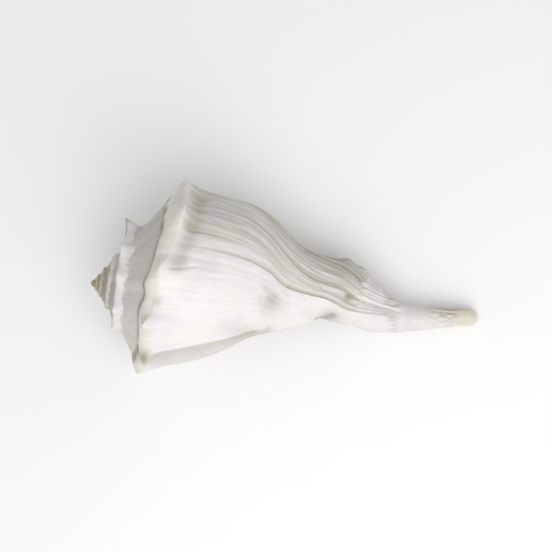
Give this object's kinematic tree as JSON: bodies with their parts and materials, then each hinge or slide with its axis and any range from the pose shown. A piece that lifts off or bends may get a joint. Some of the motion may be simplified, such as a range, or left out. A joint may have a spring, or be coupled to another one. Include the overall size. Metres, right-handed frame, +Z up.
{
  "type": "whelk shell",
  "caption": "Empty left-handed whelk shell with a knobbed shoulder, low spire and long straight canal, lying on its mouth.",
  "frame": {"origin": "middle of the shell's footprint, on the surface it lies on", "axes": "+X towards the tip of the canal, +Y towards the outer lip's side, +Z up from the mouth to the back"},
  "size_m": [0.1962, 0.105, 0.0857],
  "materials": {
    "shell": "satin"
  },
  "bodies": {
    "root": {"shell": "shell"}
  },
  "joints": []
}
